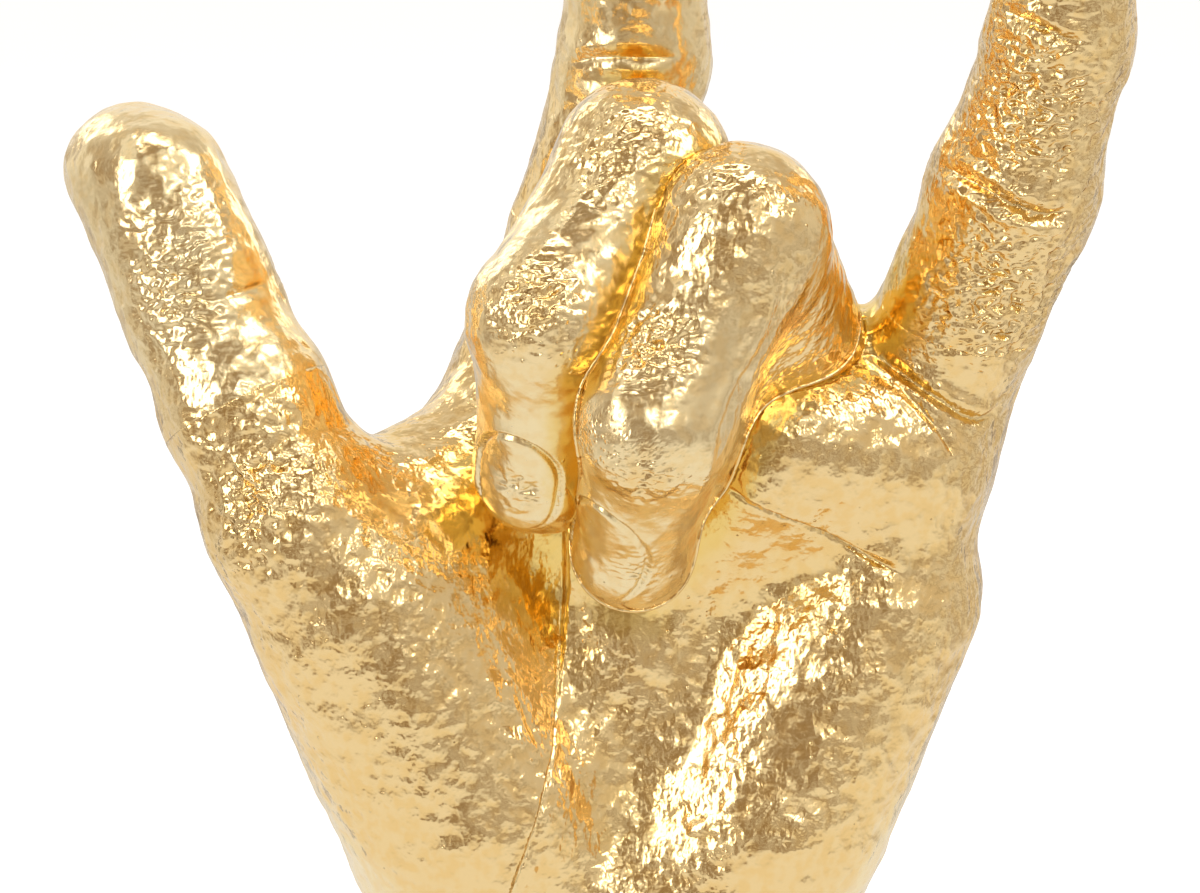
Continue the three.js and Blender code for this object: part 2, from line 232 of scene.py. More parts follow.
# %% [markdown]
# ## A fine skin
# The mesh for a skin starts as one rounded hull per bone, made with bmesh. Blender's voxel Remesh modifier
# melts the hulls into one closed surface with even small faces. Its points are then moved onto the
# flesh's zero surface, which takes away every trace of the hulls. A second, finer remesh and a second
# settling give a skin with about ten points to the square millimetre on the folded fingers.

# %% Make a skin over bones
ROUGH_VOXEL = 1.5
HULL_MARGIN = 0.6
LEAST_STEEPNESS = 0.3


def add_object(name, data):
    made = bpy.data.objects.new(name, data)
    bpy.context.scene.collection.objects.link(made)
    return made


def object_from(name, bm):
    mesh = bpy.data.meshes.new(name)
    bm.to_mesh(mesh)
    bm.free()
    return add_object(name, mesh)


def vectors_of(mesh, kind):
    """A row for each point of a mesh: its place ("co") or its "normal"."""
    flat = np.empty(len(mesh.vertices) * 3, np.float32)
    mesh.vertices.foreach_get(kind, flat)
    return flat.reshape(-1, 3).astype(float)


def points_of(mesh):
    return vectors_of(mesh, "co") / MM


def place(mesh, points):
    mesh.vertices.foreach_set("co", (points * MM).astype(np.float32).ravel())
    mesh.update()


def bake_modifiers(piece):
    graph = bpy.context.evaluated_depsgraph_get()
    done = bpy.data.meshes.new_from_object(piece.evaluated_get(graph))
    piece.modifiers.clear()
    piece.data = done
    return piece


def remesh(piece, size):
    modifier = piece.modifiers.new("voxels", "REMESH")
    modifier.mode = "VOXEL"
    modifier.voxel_size = size * MM
    return bake_modifiers(piece)


def on_skin(points, distance, turns=6, share=1.0):
    """The places on a skin nearest to the given points. Each turn goes a share of the way."""
    p = np.array(points, float)
    for _ in range(turns):
        slope = slope_of(distance, p)
        steepness = np.maximum((slope * slope).sum(1), LEAST_STEEPNESS)
        p -= slope * (distance(p) * share / steepness)[:, None]
    return p


def settle(mesh, distance, turns, share):
    place(mesh, on_skin(points_of(mesh), distance, turns, share))


def skin_over(name, bones, fineness):
    whole = bmesh.new()
    for start, end, radius, end_radius, _ in bones:
        hull = bmesh.new()
        for centre, r in ((start, radius), (end, end_radius)):
            spot = Matrix.Translation(Vector(centre) * MM)
            bmesh.ops.create_icosphere(hull, subdivisions=3, radius=(r + HULL_MARGIN) * MM, matrix=spot)
        made = bmesh.ops.convex_hull(hull, input=hull.verts)
        inner = [g for g in made["geom_interior"] if isinstance(g, bmesh.types.BMVert)]
        bmesh.ops.delete(hull, geom=inner, context="VERTS")
        part = bpy.data.meshes.new("hull")
        hull.to_mesh(part)
        whole.from_mesh(part)
        hull.free()
        bpy.data.meshes.remove(part)
    piece = object_from(name, whole)
    distance = flesh_on(bones)
    remesh(piece, ROUGH_VOXEL)
    settle(piece.data, distance, turns=3, share=0.7)
    remesh(piece, fineness)
    settle(piece.data, distance, turns=2, share=1.0)
    print(name, len(piece.data.polygons), "faces")
    return piece


def refine(piece, chosen, distance):
    """Halves the edges that lie between chosen points, and settles the new points."""
    bm = bmesh.new()
    bm.from_mesh(piece.data)
    near = chosen(points_of(piece.data))
    bm.verts.ensure_lookup_table()
    edges = [edge for edge in bm.edges if near[edge.verts[0].index] and near[edge.verts[1].index]]
    bmesh.ops.subdivide_edges(bm, edges=edges, cuts=1, use_grid_fill=True)
    bmesh.ops.triangulate(bm, faces=[face for face in bm.faces if len(face.verts) > 4])
    bm.to_mesh(piece.data)
    bm.free()
    settle(piece.data, distance, turns=1, share=1.0)
    print(piece.name, "refined to", len(piece.data.vertices), "points")


# %% [markdown]
# ## Cutting
# The open hand is made in one piece, so that its skin runs on over the joints between castings, and is
# cut afterwards. A Boolean modifier with the Manifold solver cuts a mesh of this size in a second and
# keeps it closed. Cutters are plain blocks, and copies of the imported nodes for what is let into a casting.

# %% Cut and keep
BLOCK_LENGTH = 400
BLOCK_SHARE = 1.42
MERGE_DISTANCE = 0.001


def cut(piece, cutter, operation="DIFFERENCE"):
    """Takes the cutter's shape away from a piece. With INTERSECT it is what stays."""
    modifier = piece.modifiers.new(operation.lower(), "BOOLEAN")
    modifier.operation = operation
    modifier.solver = "MANIFOLD"
    modifier.object = cutter
    return bake_modifiers(piece)


def discard(piece):
    bpy.data.objects.remove(piece)


def merged_copy(node):
    """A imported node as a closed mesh. Its triangles come loose, so their corners are merged."""
    bm = bmesh.new()
    bm.from_mesh(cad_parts[node].data)
    bmesh.ops.remove_doubles(bm, verts=bm.verts, dist=MERGE_DISTANCE * MM)
    return object_from(node + "_cutter", bm)


def block_past_root(digit):
    """What lies past a digit's joint face. For a raised digit it is narrow, so it holds no other."""
    face, run = root_of(digit)
    width = BLOCK_LENGTH if digit["folded"] else 2 * BLOCK_SHARE * digit["radii"][0]
    turn = Vector((0, 0, 1)).rotation_difference(Vector(run)).to_matrix().to_4x4()
    bm = bmesh.new()
    bmesh.ops.create_cube(bm, size=1)
    bmesh.ops.scale(bm, verts=bm.verts, vec=Vector((width, width, BLOCK_LENGTH)) * MM)
    bmesh.ops.translate(bm, verts=bm.verts, vec=Vector((0, 0, BLOCK_LENGTH / 2)) * MM)
    bmesh.ops.transform(bm, verts=bm.verts, matrix=Matrix.Translation(Vector(face) * MM) @ turn)
    return object_from("block", bm)


# %% [markdown]
# ## Marks on the skin
# A crease, a fold or a tendon is a line on the skin with a profile across it. The lines below are lists of
# a few points that are first settled onto the flesh. A mark then raises or lowers each point of the mesh
# by its distance from the line, and fades out towards the line's ends.

# %% Lines, swells and their profiles
def smooth_step(x, low, high):
    t = np.clip((x - low) / (high - low), 0, 1)
    return t * t * (3 - 2 * t)


def spline(points, steps):
    """A smooth run through a few points, with some points in between."""
    p = np.array(points, float)
    before, after = np.vstack([2 * p[0] - p[1], p[:-1]]), np.vstack([p[1:], 2 * p[-1] - p[-2]])
    slopes = (after - before) / 2
    run = [p[:1]]
    for a, b, u, v in zip(p, p[1:], slopes, slopes[1:]):
        t = np.arange(1, steps + 1)[:, None] / steps
        run.append((2 * t**3 - 3 * t**2 + 1) * a + (t**3 - 2 * t**2 + t) * u
                   + (3 * t**2 - 2 * t**3) * b + (t**3 - t**2) * v)
    return np.vstack(run)


def near_lines(lines, distance, reach):
    """Chooses the points that lie within reach of any of the lines."""
    def chosen(p):
        near = np.zeros(len(p), bool)
        for points in lines:
            for q in on_skin(spline(points, 3), distance):
                near |= ((p - q) ** 2).sum(1) < reach * reach
        return near
    return chosen


def line_mark(points, distance, profile, fade, reach=8):
    """profile(across, share) gives the skin's height, in mm, beside the line and along it."""
    line = on_skin(spline(points, 3), distance)
    spans = np.linalg.norm(np.diff(line, axis=0), axis=1)
    starts = np.concatenate([[0], np.cumsum(spans)])

    def height(p, n):
        out = np.zeros(len(p))
        near = np.all((p > line.min(0) - reach) & (p < line.max(0) + reach), axis=1)
        q, m = p[near], n[near]
        best, across, run = np.full(len(q), np.inf), np.zeros(len(q)), np.zeros(len(q))
        for a, b, start, span in zip(line, line[1:], starts, spans):
            t = np.clip((q - a) @ (b - a) / (span * span), 0, 1)
            gap = q - a - t[:, None] * (b - a)
            d = np.linalg.norm(gap, axis=1)
            closer = d < best
            side = np.sign((np.cross(b - a, m) * gap).sum(1))
            best[closer] = d[closer]
            across[closer] = (d * side)[closer]
            run[closer] = (start + t * span)[closer]
        share = run / starts[-1]
        ends = smooth_step(share, 0, fade) * smooth_step(1 - share, 0, fade)
        out[near] = profile(across, share) * ends * (best < reach)
        return out
    return height


def groove(depth, width, shoulder):
    """A sharp groove between two soft shoulders, whose height is a share of its depth."""
    def profile(across, share):
        x = np.abs(across) / width
        return -depth * np.exp(-np.sqrt(x * x + 0.02) * 1.6) + shoulder * depth * np.exp(-(x - 2.2) ** 2)
    return profile


def ridge(height, width):
    return lambda across, share: height * np.exp(-(across / width) ** 2)


def bank(height, width, depth):
    """Ground that stands higher on one side of the line, which is that of height's sign."""
    def profile(across, share):
        side = across * np.sign(height)
        raised = abs(height) * np.exp(-np.maximum(side, 0) / width) * smooth_step(side, -0.2, 1.1)
        return raised - depth * np.exp(-(across / 0.6) ** 2)
    return profile


def life_line(across, share):
    """At its top the palm's side is a lip over a pocket. Further down the thumb's side is the higher."""
    top = smooth_step(0.45 - share, 0, 0.2)
    lip = 0.9 * top * smooth_step(-across, -0.3, 0.5) * np.exp(-np.maximum(-across, 0) / 9)
    spread = 1.5 + 26 * np.maximum(0.27 - share, 0)
    pocket = 2.3 * smooth_step(0.3 - share, 0, 0.14) * smooth_step(across, -0.3, 0.6)
    raised = 1.0 * (1 - top) * smooth_step(across, -0.3, 0.9) * np.exp(-np.maximum(across, 0) / 5)
    pocket *= np.exp(-((across / spread) ** 2))
    return lip - pocket + raised - 0.35 * np.exp(-((across / 0.45) ** 2))


def swell(centre, distance, height, radii):
    """A soft rise over a place on the skin, or a dimple where the height is below zero."""
    spot = on_skin([centre], distance)[0]
    return lambda p, n: height * np.exp(-(((p - spot) / radii) ** 2).sum(1))


# %% [markdown]
# ## Round a digit
# Nails, joint wrinkles and finger pads follow a digit rather than the photograph's frame. So each point
# gets three numbers for a digit: the bone that it is nearest to, how far it lies along that bone, and how
# far round it, where 0 is the palm's side and half a turn is the back of the finger.

# %% Where a point lies on a digit
def round_digit(p, digit):
    joints = joints_of(digit)
    runs, palm_sides = bone_runs(digit)
    distances = np.stack([to_bone(p, bone) for bone in bones_of(digit)])
    nearest = distances.argmin(0)
    away = p - joints[nearest]
    run, palm_side = runs[nearest], palm_sides[nearest]
    along = (away * run).sum(1)
    across = (away * np.cross(run, palm_side)).sum(1)
    angle = np.arctan2(across, (away * palm_side).sum(1))
    return nearest, along, angle, distances.min(0)


WRINKLE_SPACING = 1.5
WRINKLE_SPREAD = 1.3


def joint_wrinkles(digit, joint, height, count=5):
    """Wrinkles across the back of a digit at a joint."""
    at = joints_of(digit)[joint]
    runs, palm_sides = bone_runs(digit)
    run = runs[joint - 1] + runs[min(joint, 2)]
    run /= np.linalg.norm(run)
    face = palm_sides[joint - 1] + palm_sides[min(joint, 2)]
    face *= -1 / np.linalg.norm(face)
    side = np.cross(run, face)
    radius = digit["radii"][joint]

    def height_at(p, n):
        away = p - at
        along, outward, across = away @ run, away @ face, away @ side
        near = (np.linalg.norm(away, axis=1) < radius * 2.2) & (outward > 0)
        bow = along + 0.02 * across * across + 0.35 * np.sin(across * 0.9 + along * 2)
        window = np.exp(-(along / (count * WRINKLE_SPACING * 0.42)) ** 2)
        window = window * np.exp(-(np.arctan2(across, outward) / WRINKLE_SPREAD) ** 4)
        waves = -np.abs(np.cos(bow * math.pi / WRINKLE_SPACING)) ** 3
        return np.where(near, height * window * (waves + 0.35), 0)
    return height_at


def finger_pad(digit, bone, height, middle=0.5, width=0.3, spread=1.1):
    """The pad of flesh on the palm's side of one of a digit's bones."""
    def height_at(p, n):
        nearest, along, angle, d = round_digit(p, digit)
        share = along / digit["bones"][bone]
        window = np.exp(-((share - middle) / width) ** 2) * np.exp(-(angle / spread) ** 2)
        return np.where((nearest == bone) & (d < 3), height * window, 0)
    return height_at


def nail(digit, start, length, width, turn=0.0, lift=0.15, cut=0.25):
    """A nail: a flat plate in a groove of a given half-width, with a soft wall of skin round it."""
    joints = joints_of(digit)
    runs, palm_sides = bone_runs(digit)
    run, back = runs[2], -palm_sides[2]
    back = back * math.cos(turn) + np.cross(run, back) * math.sin(turn)
    side = np.cross(run, back)

    def height_at(p, n):
        away = p - joints[2]
        along, across, outward = away @ run - start - length / 2, away @ side, away @ back
        u, v = along / (length / 2), across / (width / 2)
        power = np.where(u < 0, 2.0, 2.7)  # rounder at its root than at its tip
        reach = (np.abs(u) ** power + np.abs(v) ** power) ** (1 / power)
        edge = (reach - 1) * width / 2
        near = (outward > 0) & (np.abs(u) < 2) & (np.abs(v) < 2)
        plate = lift * smooth_step(-edge, 0.0, 0.5)
        flat = 0.12 * np.clip(1 - v * v, 0, 1) * (edge < 0)
        rim = 1 - 0.6 * smooth_step(u, 0.5, 0.95)
        cleft = -0.42 * np.exp(-(edge / cut) ** 2) * rim
        wall = 0.36 * smooth_step(edge, 0.1, 0.45) * np.exp(-np.maximum(edge - 0.45, 0) / 1.1) * rim
        under = -0.45 * np.exp(-((edge - 0.9) / 0.8) ** 2) * smooth_step(u, 0.5, 1.0)
        return np.where(near, plate + flat + cleft + wall + under, 0)
    return height_at


# %% [markdown]
# ## Crumpled leaf
# Leaf metal never lies quite smooth. Swells of two to eight millimetres are modelled, because they break
# up the reflections and show at the outline, and the folded fingers get less of them than the hand. The
# finer crumple belongs to the finish, further down.

# %% Crumple and wrinkles
def wave(p, size, seed):
    """Noise with swells of the given size in mm and half of it."""
    q = p / size + seed
    return np.array([noise.fractal(v, 1.0, 2.0, 2) for v in q.tolist()])


def crumple(amount, size, seed=0.0):
    return lambda p, n: amount * wave(p, size, seed)


def wrinkled_spot(centre, distance, radii, height):
    """A patch of short sharp wrinkles, as over a bent joint."""
    spot = on_skin([centre], distance)[0]

    def height_at(p, n):
        out = np.zeros(len(p))
        gap = (((p - spot) / radii) ** 2).sum(1)
        near = gap < 5
        folds = 1 - 2.6 * np.abs(wave(p[near] * (0.8, 1, 1.5), 1.9, 2.7))
        out[near] = height * (folds - 0.5) * np.exp(-gap[near])
        return out
    return height_at


def carve(piece, marks):
    mesh = piece.data
    p, n = points_of(mesh), vectors_of(mesh, "normal")
    height = sum(mark(p, n) for mark in marks)
    place(mesh, p + n * height[:, None])
    print(piece.name, "carved from", height.min().round(2), "to", height.max().round(2), "mm")


# %% [markdown]
# ## The open hand's skin
# The palm's creases, the wrinkles at the joints, the nails and the tendons are what a mould takes from a
# real hand. The main lines are given by a few points each, to the nearest half millimetre. Round them,
# and on the three raised digits, the mesh is made finer first, so that the edge of a crease stays crisp.

# %% Lines of the palm and the digits
LIFE_LINE = [(-8, -13, 130), (-8, -12, 126), (-8, -11, 120.5), (-8.5, -10.5, 114), (-9.5, -12.5, 107),
             (-11, -18, 98), (-12.5, -22, 90.5), (-15.5, -23, 80), (-18, -21, 68)]
HEART_LINE = [(12.5, -20, 136), (18, -20, 133), (23.5, -18, 130.5), (30.5, -16, 126.5), (38, -16, 122.5)]
LITTLE_BASE_A = [(32, -11, 152.5), (34.5, -12, 151.5), (39, -14.5, 148.5), (43, -15, 146), (47, -13, 143.5),
                 (51.5, -8.5, 143.5)]
LITTLE_BASE_B = [(36, -14.5, 148.5), (40, -16.5, 145), (42.5, -17, 142), (44, -16.5, 138.5)]
LITTLE_PIP = [(41.5, -16.5, 178.5), (46.5, -22.5, 176), (50, -23.5, 174), (55, -23, 172.5), (59, -21, 173.5)]
LITTLE_DIP = [(47, -26, 199.5), (51.5, -29, 198), (56, -30, 196), (59, -29.5, 196)]
INDEX_PIP = [(-8, 2, 189.5), (-3.5, -2, 191), (2, -3.5, 191), (8, -1, 191)]
THUMB_IP = [(-47.5, -12, 162), (-50.5, -16, 161.5), (-54.5, -18.5, 160.5)]
THUMB_BASE = [(-52.5, -23, 142), (-49.5, -24.5, 137.5), (-46.5, -26.5, 133.5), (-44.5, -27, 129)]
THUMB_BASE_B = [(-51, -23.5, 141), (-47.5, -25, 137.5), (-45, -26.5, 134)]
WRIST_A = [(-25, -14, 70), (-12, -21, 66), (2, -21, 65), (15, -20, 66), (26, -13, 70)]
WRIST_B = [(-24, -14, 63), (-10, -21, 60.5), (4, -21, 60), (24, -13, 64)]
FINGERS = ("index_finger", "middle_finger", "ring_finger", "little_finger")
BEHIND = (0, 20, 0)


def crease(line, depth, width, fade, shoulder=0.25):
    return line_mark(line, hand, groove(depth, width, shoulder), fade)


def tendon(name):
    """A tendon on the back of the hand, from the wrist to a knuckle."""
    start, end = in_hand(HAND_BONES[name][0]) + BEHIND, in_hand(DIGITS[name]["knuckle"]) + BEHIND
    line = [start + (end - start) * t for t in (0.15, 0.4, 0.7, 0.97)]
    return line_mark(line, hand, ridge(1.3, 2.2), fade=0.3)


def knuckle(name):
    """A knuckle's rise on the back of the hand."""
    return swell(in_hand(DIGITS[name]["knuckle"]) + (0, 12, 1), hand, 1.6, (6.5, 8, 8))


def valley_fill(p, n):
    """Flesh in the sharp valley between the first finger's bone and the thumb, on the back of the hand.
    It is what a softened minimum with twice the blend would add."""
    finger_side = to_bone(p, hand_bone("index_finger"))
    thumb_side = flesh_on([hand_bone("thumb"), palm_mass("thumb_web"), palm_mass("thumb_root")])(p)
    apart = np.abs(finger_side - thumb_side)
    fill = [blend * np.maximum(1 - apart / blend, 0) ** 2 / 4 for blend in (2 * PALM_BLEND, PALM_BLEND)]
    window = smooth_step(p[:, 1], 2, 8) * smooth_step(p[:, 2], 78, 98) * smooth_step(-p[:, 2], -150, -132)
    return (fill[0] - fill[1]) * window


def beyond_root(p):
    """Chooses the points of the raised digits."""
    chosen = np.zeros(len(p), bool)
    for digit in (index_finger, little_finger, thumb):
        face, run = root_of(digit)
        away = p - face
        along = away @ run
        aside = np.linalg.norm(away - np.outer(along, run), axis=1)
        chosen |= (along > -1) & (aside < 1.6 * digit["radii"][0])
    return chosen


# %% [markdown]
# ## Carving the open hand
# All marks are read from the settled skin and their heights added up, so their order doesn't matter, and
# each point of the mesh moves once along its normal.

# %% Carve the open hand
HAND_FINENESS = 0.55
FINGER_FINENESS = 0.32

body = skin_over("hand_body", open_hand(), HAND_FINENESS)
refine(body, beyond_root, hand)
refine(body, near_lines([LIFE_LINE[:7], HEART_LINE, LITTLE_BASE_A, LITTLE_BASE_B], hand, 2.2), hand)
carve(body, [
    line_mark(LIFE_LINE, hand, life_line, reach=16, fade=0.04),
    line_mark(HEART_LINE, hand, bank(-1.5, 5.0, 0.7), reach=16, fade=0.15),
    crease(LITTLE_BASE_A, 1.1, 0.7, 0.2),
    crease(LITTLE_BASE_B, 0.8, 0.55, 0.25),
    crease(LITTLE_PIP, 1.5, 0.9, 0.2, shoulder=0.4),
    crease(LITTLE_DIP, 1.2, 0.8, 0.25, shoulder=0.4),
    crease(INDEX_PIP, 0.9, 0.8, 0.3),
    crease(THUMB_IP, 0.6, 0.7, 0.4),
    line_mark(THUMB_BASE, hand, ridge(1.0, 0.7), fade=0.3),
    crease(THUMB_BASE_B, 0.8, 0.6, 0.3),
    crease(WRIST_A, 0.8, 0.8, 0.3),
    crease(WRIST_B, 0.6, 0.7, 0.3),
    swell((28.5, -21, 143), hand, 1.2, (10, 10, 8)),
    *[tendon(name) for name in FINGERS],
    *[knuckle(name) for name in FINGERS],
    valley_fill,
    finger_pad(little_finger, 0, 0.5, 0.62, 0.22),
    finger_pad(little_finger, 1, 0.8),
    finger_pad(little_finger, 2, 0.6, 0.6, 0.4),
    finger_pad(index_finger, 1, 0.6),
    finger_pad(index_finger, 2, 0.5, 0.6, 0.4),
    nail(index_finger, 7.5, 13, 11, lift=0.3, cut=0.4),
    nail(little_finger, 9.5, 12.5, 9.5, lift=0.3, cut=0.4),
    nail(thumb, 9, 16.5, 14, lift=0.3, cut=0.4),
    joint_wrinkles(index_finger, 1, 0.45),
    joint_wrinkles(index_finger, 2, 0.3, 3),
    joint_wrinkles(little_finger, 1, 0.4),
    joint_wrinkles(little_finger, 2, 0.3, 3),
    joint_wrinkles(thumb, 2, 0.45, 4),
    wrinkled_spot((-60, -19, 163), hand, (6, 6, 11), 0.4),
    wrinkled_spot((-49, -25, 135), hand, (7, 7, 10), 0.8),
    wrinkled_spot((50, -20, 160), hand, (8, 8, 14), 0.6),
    wrinkled_spot((53, -27, 187), hand, (8, 8, 12), 0.6),
    crumple(0.34, 7.5),
    crumple(0.1, 2.6, 5.3),
])

# %% [markdown]
# ## The folded fingers' skins
# They were modelled apart from the hand and are smoother than it: flat nails in raised folds, a dimple
# each, and wrinkles only over the last joints and on the tips. The ring finger has a soft ridge down its
# outer side, where its face turns into its flank.

# %% The folded fingers
RING_RIDGE = [(14.5, -43.5, 172.5), (17, -43.5, 171), (18, -42.5, 166), (16.5, -42, 161), (12, -45, 153),
              (10, -46, 148), (9, -43, 142), (8, -34, 133)]
middle_piece = skin_over("middle_finger_skin", folded_finger(middle_finger), FINGER_FINENESS)
ring_piece = skin_over("ring_finger_skin", folded_finger(ring_finger), FINGER_FINENESS)

carve(middle_piece, [
    nail(middle_finger, 13.5, 16.5, 11.5, turn=0.4),
    wrinkled_spot((-12, -42.5, 164.5), middle, (5, 5, 5), 0.6),
    wrinkled_spot((-3, -33, 183), middle, (6, 6, 8), 0.25),
    wrinkled_spot((-15.5, -36, 133.5), middle, (2.5, 4, 3.5), 0.4),
    swell((-14, -40, 157), middle, -0.35, (3, 3, 3)),
    crumple(0.2, 5.0, 3.1),
    crumple(0.05, 1.8, 1.3),
])
carve(ring_piece, [
    nail(ring_finger, 11, 19, 12, turn=0.62),
    line_mark(RING_RIDGE, ring, ridge(0.6, 1.2), fade=0.25),
    wrinkled_spot((3, -45.5, 160), ring, (5, 5, 5), 0.6),
    wrinkled_spot((2, -46, 142), ring, (4, 4, 3.5), 0.55),
    wrinkled_spot((9, -38, 182), ring, (6, 6, 8), 0.25),
    wrinkled_spot((1.5, -34, 125), ring, (2.5, 4, 3.5), 0.35),
    swell((4, -46.5, 151), ring, -0.3, (3, 3, 3)),
    crumple(0.2, 5.0, 7.7),
    crumple(0.05, 1.8, 4.3),
])

# %% [markdown]
# ## Parting the castings
# Six castings make the hand. The raised digits are sawn off the open hand at their joint faces, and the
# folded fingers are cut at theirs and let into the palm, which is why each overlaps nothing. Holes for
# the dowels, the weight's pocket and the seat of the closing plate are cut with copies of those nodes.

# %% Part the castings
MOST_TRIANGLES = 190000
FOOT_BLOCK = 0.4


def triangles_of(piece):
    return sum(len(face.vertices) - 2 for face in piece.data.polygons)


below = bmesh.new()
bmesh.ops.create_cube(below, size=FOOT_BLOCK)
bmesh.ops.translate(below, verts=below.verts, vec=(0, 0, FELT_TOP * MM - FOOT_BLOCK / 2))
below_felt = object_from("below_felt", below)
cut(body, below_felt)
discard(below_felt)

castings = {}
for name in ("thumb", "index_finger", "little_finger"):
    block = block_past_root(DIGITS[name])
    piece = add_object(name + "_skin", body.data.copy())
    castings[name] = cut(piece, block, "INTERSECT")
    cut(body, block)
    discard(block)
for name, piece in (("middle_finger", middle_piece), ("ring_finger", ring_piece)):
    block = block_past_root(DIGITS[name])
    castings[name] = cut(piece, block, "INTERSECT")
    discard(block)
    cut(body, piece)
cut(castings["middle_finger"], castings["ring_finger"])
castings["palm_and_wrist"] = body
body.name = "palm_and_wrist_skin"
for name in DIGITS:
    dowel = merged_copy(name + "_dowel")
    cut(castings[name], dowel)
    cut(body, dowel)
    discard(dowel)
for name in ("closing_plate", "wrist_weight"):
    cutter = merged_copy(name)
    cut(body, cutter)
    discard(cutter)

for name, piece in castings.items():
    if triangles_of(piece) > MOST_TRIANGLES:
        thin = piece.modifiers.new("thin", "DECIMATE")
        thin.ratio = MOST_TRIANGLES / triangles_of(piece)
        bake_modifiers(piece)
    piece.data.shade_smooth()
    piece.data.set_sharp_from_angle(angle=math.radians(60))
    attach(piece, "root")
    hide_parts(name)
    print(name, triangles_of(piece), "triangles")


# %% [markdown]
# ## Threads of filler
# Where the ring finger is bedded against its neighbour and the palm, a thread of filler stands out of the
# joint. Each is a fine round cord. A few points give its way along the edge where one skin passes behind
# the other, and the points in between are settled on whichever skin lies outermost there.

# %% Threads in the joints
THREAD_WIDTH = 0.5


def thread(name, points, skins):
    line = on_skin(spline(points, 8), lambda p: np.minimum(*[skin(p) for skin in skins]) - THREAD_WIDTH / 4)
    curve = bpy.data.curves.new(name + "_run", "CURVE")
    curve.dimensions = "3D"
    curve.bevel_depth = THREAD_WIDTH / 2 * MM
    curve.bevel_resolution = 2
    curve.use_fill_caps = True
    run = curve.splines.new("POLY")
    run.points.add(len(line) - 1)
    for point, at, share in zip(run.points, line * MM, np.linspace(0, 1, len(line))):
        point.co = (*at, 1)
        point.radius = min(1, 0.4 + 6 * share, 0.4 + 6 * (1 - share))  # thinner at its ends
    cord = add_object(name + "_run", curve)
    piece = add_object(name, bpy.data.meshes.new_from_object(cord))
    discard(cord)
    piece.data.shade_smooth()
    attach(piece, "root")
    print(name, len(piece.data.polygons), "faces")
    return piece


BETWEEN_FOLDED = [(3.5, -33.5, 175), (2, -35, 169.5), (-0.5, -37.5, 163), (-3, -40, 158), (-5.5, -40.5, 154),
                  (-6.5, -42, 149.5), (-6.5, -40, 144), (-7, -33, 138.5), (-6.5, -28, 134)]
ROUND_RING = [(-7, -22.5, 131), (-7, -23.5, 127), (-4, -24.5, 121.5), (2, -24, 120), (6, -23, 121),
              (9, -23, 125.5), (10, -24, 131), (13, -22, 135.5), (15.5, -24.5, 142.5), (16.5, -23, 145),
              (19, -21, 147.5), (23.5, -20, 149.5), (29, -15, 153), (31.5, -12.5, 158)]
threads = [
    thread("thread_between_folded_fingers", BETWEEN_FOLDED, (middle, ring)),
    thread("thread_round_ring_finger", ROUND_RING, (ring, hand)),
]

# %% [markdown]
# ## Where the leaf lies smooth
# On the object the leaf is crumpled on the palm and the little finger, calmer on the thumb and the first
# finger, and smooth on the folded fingers' faces, their nails and the wrist. A value at each point of the
# mesh, called smoothness, says how far a place is one or the other. A second one is high in hollows, where
# the crumple is laid calmer and the finish paints a deeper, more orange gold as painted shade. It is read
# from the flesh some millimetres off the skin: over a dome that distance is as large as the step outwards,
# and over a hollow it is less. The finish reads both values.

# %% Smoothness
SMOOTH_BELOW = 112
SMOOTH_LOWER_ON_PALM = 42
POOL_STEP = 9


def smoothness_on_folded(digit, rough_spots):
    """Grows along the second bone and past the last joint, but not at the rough spots."""
    def smoothness(p, n):
        nearest, along, _, _ = round_digit(p, digit)
        share = nearest + along / np.array(digit["bones"])[nearest]  # counted in bones
        smooth = 0.15 + 0.45 * smooth_step(share, 1.2, 1.7) + 0.25 * smooth_step(share, 2.0, 2.3)
        for spot, radius in rough_spots:
            smooth = smooth * (1 - np.exp(-((p - spot) ** 2).sum(1) / radius**2))
        return smooth
    return smoothness


def smoothness_on_hand(p, n):
    """Smooth on the wrist, and less far up on the palm's side than on the flanks and the back."""
    facing = np.clip(-n[:, 1], 0, 1)
    return 0.85 * smooth_step(SMOOTH_BELOW - SMOOTH_LOWER_ON_PALM * facing - p[:, 2], -8, 10)


def smoothness_on_raised(amount, start):
    """Grows past a digit's joint face, from the height of the given start."""
    return lambda p, n: amount * smooth_step(p[:, 2], start, start + 16)


# How hollow each point lies: the finish lays the crumple calmer there and paints a deeper gold as painted
# shade
def hollowness(p, n):
    off = p + n * POOL_STEP
    room_left = np.minimum(hand(off), np.minimum(middle(off), ring(off))) / POOL_STEP
    on_back = smooth_step(p[:, 1], 6, 16)
    return smooth_step(1 - room_left, 0.12, 0.9) * (1 - 0.5 * on_back)


smoothness = dict.fromkeys(castings, smoothness_on_hand)
smoothness["thumb"] = smoothness_on_raised(0.65, 138)
smoothness["index_finger"] = smoothness_on_raised(0.5, 172)
smoothness["middle_finger"] = smoothness_on_folded(middle_finger, [((-12, -42.5, 164.5), 6)])
smoothness["ring_finger"] = smoothness_on_folded(ring_finger, [((3, -45.5, 160), 5.5), ((2, -46, 142), 4)])
for name, piece in castings.items():
    mesh = piece.data
    for label, formula in (("smoothness", smoothness[name]), ("hollowness", hollowness)):
        values = formula(points_of(mesh), vectors_of(mesh, "normal"))
        mesh.attributes.new(label, "FLOAT", "POINT").data.foreach_set("value", values.astype(np.float32))
        print(name, "mean", label, values.mean().round(2))

# %% [markdown]
# ## Formulas for finishes
# A finish is a small sum over patterns, so it is written as one. A Term stands for a socket, and maths
# on it adds the Math nodes that do the same.

